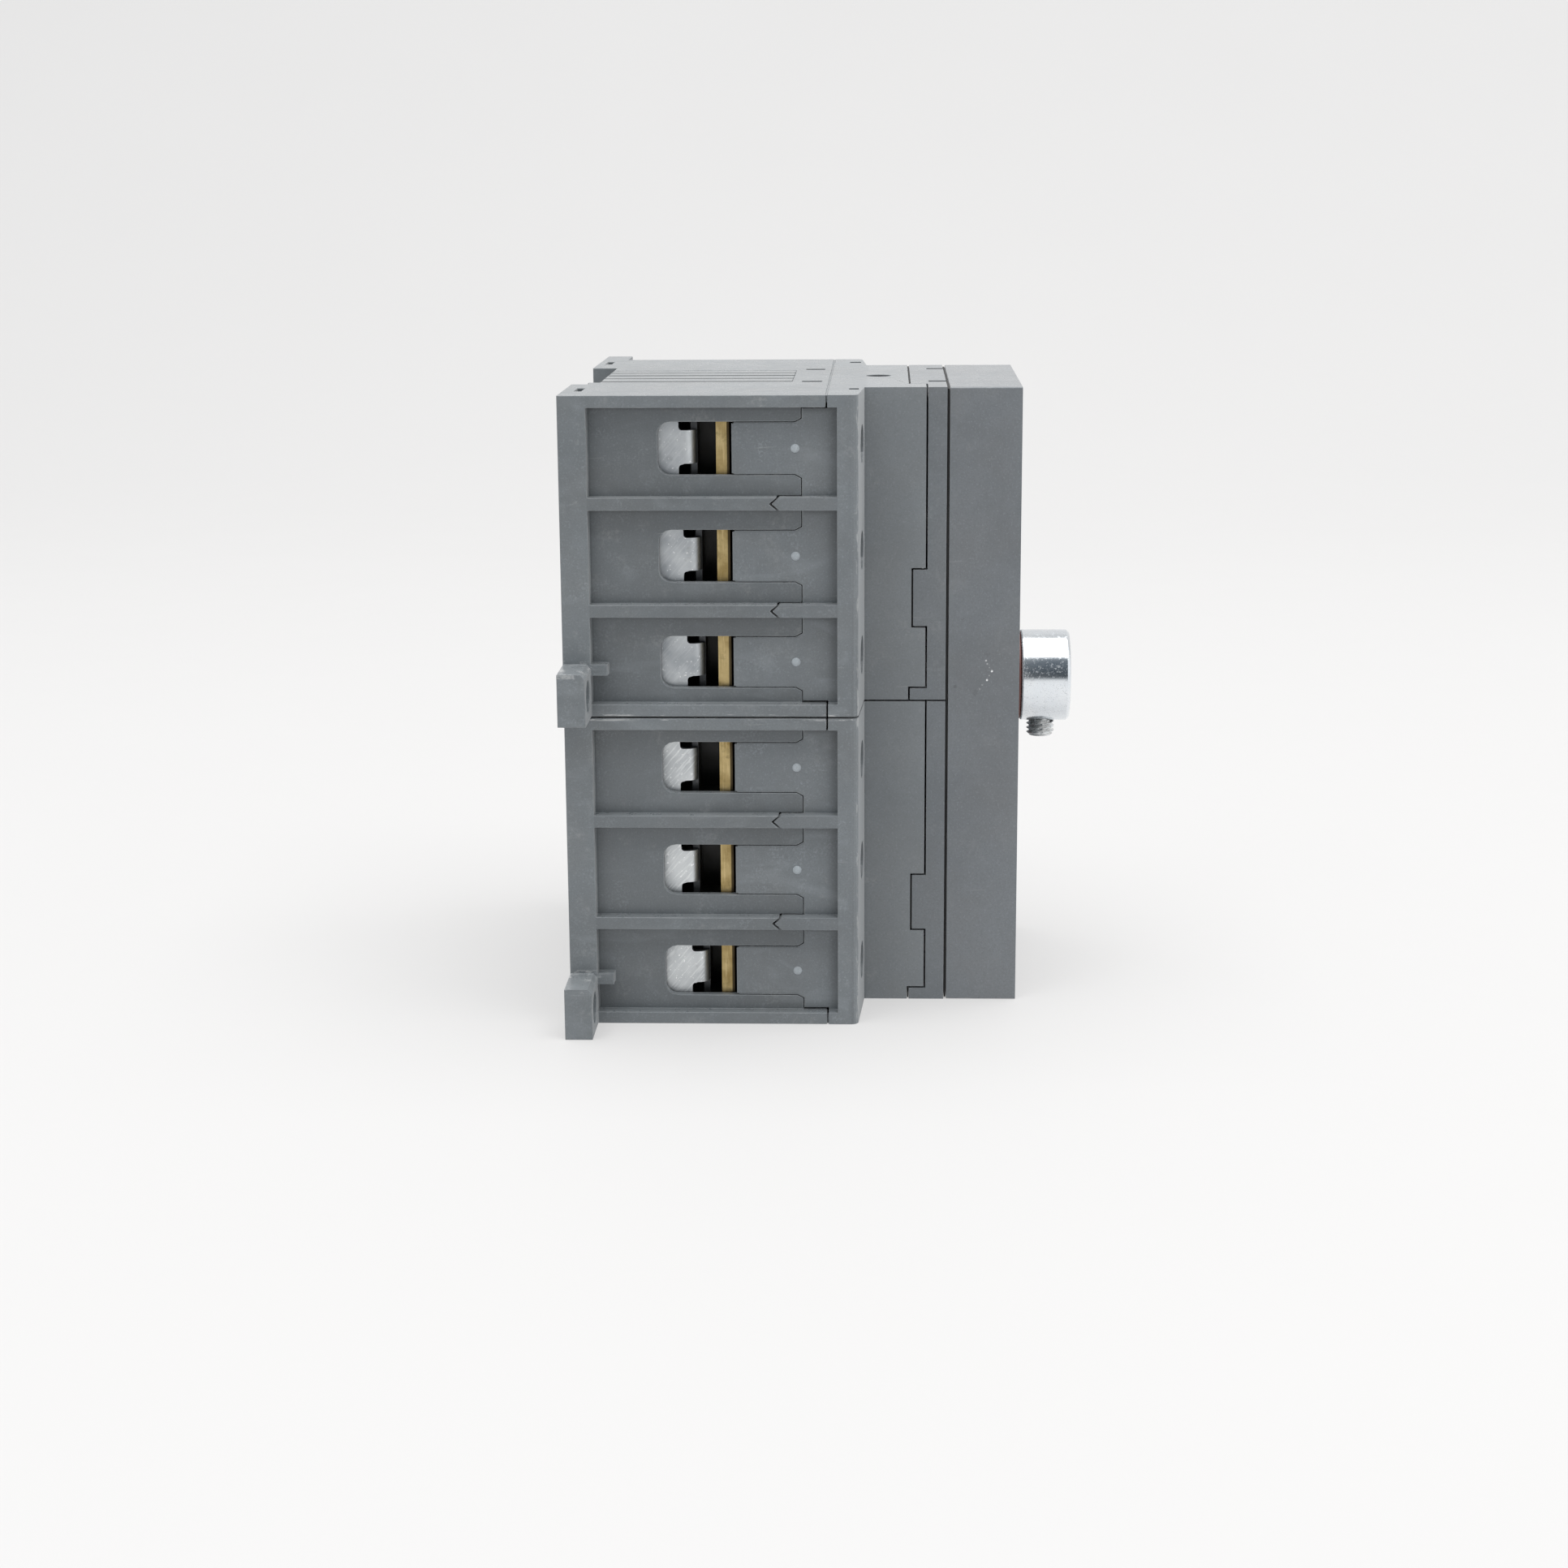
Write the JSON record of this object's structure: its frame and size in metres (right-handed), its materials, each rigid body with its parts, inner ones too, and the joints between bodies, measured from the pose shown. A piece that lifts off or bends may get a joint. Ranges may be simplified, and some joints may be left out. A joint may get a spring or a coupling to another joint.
{
  "type": "molded case switch-disconnector",
  "caption": "Rotary switch-disconnector in a molded case: two joined pole blocks with cage clamp terminals, DIN rail back and a front shaft coupler that slides the contacts.",
  "frame": {"origin": "centre of the bounding box's bottom face, on the end wall that the object stands on", "axes": "+X from the mounting back to the front coupler, +Y from the line side to the load side, +Z along the row of poles"},
  "size_m": [0.0852, 0.095, 0.1052],
  "materials": {
    "rear_case": "matt blue-grey thermoset moulding",
    "front_case": "matt blue-grey moulding",
    "front_cap": "matt blue-grey moulding",
    "mechanism_cover": "matt blue-grey moulding",
    "white_plastic": "natural white moulding",
    "black_plastic": "black moulding",
    "ring_plastic": "red-brown moulded ring",
    "zinc_steel": "zinc-plated sheet steel",
    "screw_steel": "zinc-plated screw",
    "coupler_steel": "turned bright steel",
    "link_steel": "punched steel strip",
    "brass": "tarnished brass strip",
    "copper": "copper strip"
  },
  "bodies": {
    "case": {"rear_housing_lower": "rear_case", "rear_housing_upper": "rear_case", "front_housing_lower": "front_case", "front_housing_upper": "front_case", "front_cap_lower": "front_cap", "front_cap_upper": "front_cap", "mechanism_cover": "mechanism_cover", "terminal_bar_line_1": "brass", "terminal_bar_line_2": "brass", "terminal_bar_line_3": "brass", "terminal_bar_line_4": "brass", "terminal_bar_line_5": "brass", "terminal_bar_line_6": "brass", "terminal_bar_load_1": "brass", "terminal_bar_load_2": "brass", "terminal_bar_load_3": "brass", "terminal_bar_load_4": "brass", "terminal_bar_load_5": "brass", "terminal_bar_load_6": "brass"},
    "spindle": {"operating_spindle": "black_plastic", "shaft_coupler": "coupler_steel", "spindle_ring": "ring_plastic"},
    "set_screw": {"coupler_set_screw": "screw_steel"},
    "link": {"link_bar": "link_steel"},
    "crank_lower": {"drive_crank_lower": "white_plastic"},
    "crank_upper": {"drive_crank_upper": "white_plastic"},
    "contacts_lower": {"contact_slide_lower": "white_plastic", "moving_contact_1": "copper", "moving_contact_2": "copper", "moving_contact_3": "copper"},
    "contacts_upper": {"contact_slide_upper": "white_plastic", "moving_contact_4": "copper", "moving_contact_5": "copper", "moving_contact_6": "copper"},
    "rail_clip_lower": {"rail_clip_lower": "black_plastic"},
    "rail_clip_upper": {"rail_clip_upper": "black_plastic"},
    "screw_line_1": {"clamp_screw_line_1": "screw_steel"},
    "cage_line_1": {"clamp_cage_line_1": "zinc_steel"},
    "screw_line_2": {"clamp_screw_line_2": "screw_steel"},
    "cage_line_2": {"clamp_cage_line_2": "zinc_steel"},
    "screw_line_3": {"clamp_screw_line_3": "screw_steel"},
    "cage_line_3": {"clamp_cage_line_3": "zinc_steel"},
    "screw_line_4": {"clamp_screw_line_4": "screw_steel"},
    "cage_line_4": {"clamp_cage_line_4": "zinc_steel"},
    "screw_line_5": {"clamp_screw_line_5": "screw_steel"},
    "cage_line_5": {"clamp_cage_line_5": "zinc_steel"},
    "screw_line_6": {"clamp_screw_line_6": "screw_steel"},
    "cage_line_6": {"clamp_cage_line_6": "zinc_steel"},
    "screw_load_1": {"clamp_screw_load_1": "screw_steel"},
    "cage_load_1": {"clamp_cage_load_1": "zinc_steel"},
    "screw_load_2": {"clamp_screw_load_2": "screw_steel"},
    "cage_load_2": {"clamp_cage_load_2": "zinc_steel"},
    "screw_load_3": {"clamp_screw_load_3": "screw_steel"},
    "cage_load_3": {"clamp_cage_load_3": "zinc_steel"},
    "screw_load_4": {"clamp_screw_load_4": "screw_steel"},
    "cage_load_4": {"clamp_cage_load_4": "zinc_steel"},
    "screw_load_5": {"clamp_screw_load_5": "screw_steel"},
    "cage_load_5": {"clamp_cage_load_5": "zinc_steel"},
    "screw_load_6": {"clamp_screw_load_6": "screw_steel"},
    "cage_load_6": {"clamp_cage_load_6": "zinc_steel"}
  },
  "joints": [
    {"name": "spindle_turn", "type": "hinge", "parent": "case", "child": "spindle", "pos_m": [0.03243, 0, 0.0526], "axis": [-1, 0, 0], "range_deg": [0, 90]},
    {"name": "set_screw_travel", "type": "slide", "parent": "spindle", "child": "set_screw", "axis": [0, 0, 1], "range_m": [-0.0015, 0.0016]},
    {"name": "link_swing", "type": "hinge", "parent": "spindle", "child": "link", "pos_m": [0.02473, 0.00424, 0.05684], "axis": [-1, 0, 0], "range_deg": [-90, 0]},
    {"name": "crank_turn_lower", "type": "hinge", "parent": "case", "child": "crank_lower", "pos_m": [0.02142, 0, 0.02622], "axis": [-1, 0, 0], "range_deg": [0, 90]},
    {"name": "contact_travel_lower", "type": "slide", "parent": "case", "child": "contacts_lower", "axis": [0, 0, -1], "range_m": [0, 0.00481]},
    {"name": "rail_clip_slide_lower", "type": "slide", "parent": "case", "child": "rail_clip_lower", "axis": [0, 1, 0], "range_m": [0, 0.003], "stiffness_N_per_m": 300},
    {"name": "crank_turn_upper", "type": "hinge", "parent": "case", "child": "crank_upper", "pos_m": [0.02142, 0, 0.07898], "axis": [-1, 0, 0], "range_deg": [0, 90]},
    {"name": "contact_travel_upper", "type": "slide", "parent": "case", "child": "contacts_upper", "axis": [0, 0, -1], "range_m": [0, 0.00481]},
    {"name": "rail_clip_slide_upper", "type": "slide", "parent": "case", "child": "rail_clip_upper", "axis": [0, 1, 0], "range_m": [0, 0.003], "stiffness_N_per_m": 300},
    {"name": "screw_turn_line_1", "type": "hinge", "parent": "case", "child": "screw_line_1", "pos_m": [-0.01477, -0.0293, 0.00873], "axis": [-1, 0, 0], "range_deg": [-2790.1, 810.1]},
    {"name": "cage_lift_line_1", "type": "slide", "parent": "case", "child": "cage_line_1", "axis": [1, 0, 0], "range_m": [-0.0062, 0.0018]},
    {"name": "screw_turn_line_2", "type": "hinge", "parent": "case", "child": "screw_line_2", "pos_m": [-0.01477, -0.0293, 0.02622], "axis": [-1, 0, 0], "range_deg": [-2083.6, 1516.6]},
    {"name": "cage_lift_line_2", "type": "slide", "parent": "case", "child": "cage_line_2", "axis": [1, 0, 0], "range_m": [-0.00463, 0.00337]},
    {"name": "screw_turn_line_3", "type": "hinge", "parent": "case", "child": "screw_line_3", "pos_m": [-0.01477, -0.0293, 0.04372], "axis": [-1, 0, 0], "range_deg": [-2097.1, 1503.1]},
    {"name": "cage_lift_line_3", "type": "slide", "parent": "case", "child": "cage_line_3", "axis": [1, 0, 0], "range_m": [-0.00466, 0.00334]},
    {"name": "screw_turn_line_4", "type": "hinge", "parent": "case", "child": "screw_line_4", "pos_m": [-0.01477, -0.0293, 0.06148], "axis": [-1, 0, 0], "range_deg": [-2745.1, 855.1]},
    {"name": "cage_lift_line_4", "type": "slide", "parent": "case", "child": "cage_line_4", "axis": [1, 0, 0], "range_m": [-0.0061, 0.0019]},
    {"name": "screw_turn_line_5", "type": "hinge", "parent": "case", "child": "screw_line_5", "pos_m": [-0.01477, -0.0293, 0.07898], "axis": [-1, 0, 0], "range_deg": [-2574.1, 1026.1]},
    {"name": "cage_lift_line_5", "type": "slide", "parent": "case", "child": "cage_line_5", "axis": [1, 0, 0], "range_m": [-0.00572, 0.00228]},
    {"name": "screw_turn_line_6", "type": "hinge", "parent": "case", "child": "screw_line_6", "pos_m": [-0.01477, -0.0293, 0.09648], "axis": [-1, 0, 0], "range_deg": [-2317.6, 1282.6]},
    {"name": "cage_lift_line_6", "type": "slide", "parent": "case", "child": "cage_line_6", "axis": [1, 0, 0], "range_m": [-0.00515, 0.00285]},
    {"name": "screw_turn_load_1", "type": "hinge", "parent": "case", "child": "screw_load_1", "pos_m": [-0.01477, 0.0293, 0.00873], "axis": [-1, 0, 0], "range_deg": [-630.1, 2970.1]},
    {"name": "cage_lift_load_1", "type": "slide", "parent": "case", "child": "cage_load_1", "axis": [1, 0, 0], "range_m": [-0.0014, 0.0066]},
    {"name": "screw_turn_load_2", "type": "hinge", "parent": "case", "child": "screw_load_2", "pos_m": [-0.01477, 0.0293, 0.02622], "axis": [-1, 0, 0], "range_deg": [-900.1, 2700.1]},
    {"name": "cage_lift_load_2", "type": "slide", "parent": "case", "child": "cage_load_2", "axis": [1, 0, 0], "range_m": [-0.002, 0.006]},
    {"name": "screw_turn_load_3", "type": "hinge", "parent": "case", "child": "screw_load_3", "pos_m": [-0.01477, 0.0293, 0.04372], "axis": [-1, 0, 0], "range_deg": [-720.1, 2880.1]},
    {"name": "cage_lift_load_3", "type": "slide", "parent": "case", "child": "cage_load_3", "axis": [1, 0, 0], "range_m": [-0.0016, 0.0064]},
    {"name": "screw_turn_load_4", "type": "hinge", "parent": "case", "child": "screw_load_4", "pos_m": [-0.01477, 0.0293, 0.06148], "axis": [-1, 0, 0], "range_deg": [-990.1, 2610.1]},
    {"name": "cage_lift_load_4", "type": "slide", "parent": "case", "child": "cage_load_4", "axis": [1, 0, 0], "range_m": [-0.0022, 0.0058]},
    {"name": "screw_turn_load_5", "type": "hinge", "parent": "case", "child": "screw_load_5", "pos_m": [-0.01477, 0.0293, 0.07898], "axis": [-1, 0, 0], "range_deg": [-585.1, 3015.1]},
    {"name": "cage_lift_load_5", "type": "slide", "parent": "case", "child": "cage_load_5", "axis": [1, 0, 0], "range_m": [-0.0013, 0.0067]},
    {"name": "screw_turn_load_6", "type": "hinge", "parent": "case", "child": "screw_load_6", "pos_m": [-0.01477, 0.0293, 0.09648], "axis": [-1, 0, 0], "range_deg": [-810.1, 2790.1]},
    {"name": "cage_lift_load_6", "type": "slide", "parent": "case", "child": "cage_load_6", "axis": [1, 0, 0], "range_m": [-0.0018, 0.0062]}
  ],
  "couplings": [
    {"joint": "spindle_turn", "follows": "contact_travel_lower", "rad_per_m": 326.68},
    {"joint": "link_swing", "follows": "contact_travel_lower", "rad_per_m": -326.68},
    {"joint": "contact_travel_upper", "follows": "contact_travel_lower", "ratio": 1},
    {"joint": "crank_turn_lower", "follows": "contact_travel_lower", "rad_per_m": 326.68},
    {"joint": "crank_turn_upper", "follows": "contact_travel_lower", "rad_per_m": 326.68},
    {"joint": "screw_turn_line_1", "follows": "cage_lift_line_1", "rad_per_m": 7854},
    {"joint": "screw_turn_line_2", "follows": "cage_lift_line_2", "rad_per_m": 7854},
    {"joint": "screw_turn_line_3", "follows": "cage_lift_line_3", "rad_per_m": 7854},
    {"joint": "screw_turn_line_4", "follows": "cage_lift_line_4", "rad_per_m": 7854},
    {"joint": "screw_turn_line_5", "follows": "cage_lift_line_5", "rad_per_m": 7854},
    {"joint": "screw_turn_line_6", "follows": "cage_lift_line_6", "rad_per_m": 7854},
    {"joint": "screw_turn_load_1", "follows": "cage_lift_load_1", "rad_per_m": 7854},
    {"joint": "screw_turn_load_2", "follows": "cage_lift_load_2", "rad_per_m": 7854},
    {"joint": "screw_turn_load_3", "follows": "cage_lift_load_3", "rad_per_m": 7854},
    {"joint": "screw_turn_load_4", "follows": "cage_lift_load_4", "rad_per_m": 7854},
    {"joint": "screw_turn_load_5", "follows": "cage_lift_load_5", "rad_per_m": 7854},
    {"joint": "screw_turn_load_6", "follows": "cage_lift_load_6", "rad_per_m": 7854}
  ]
}
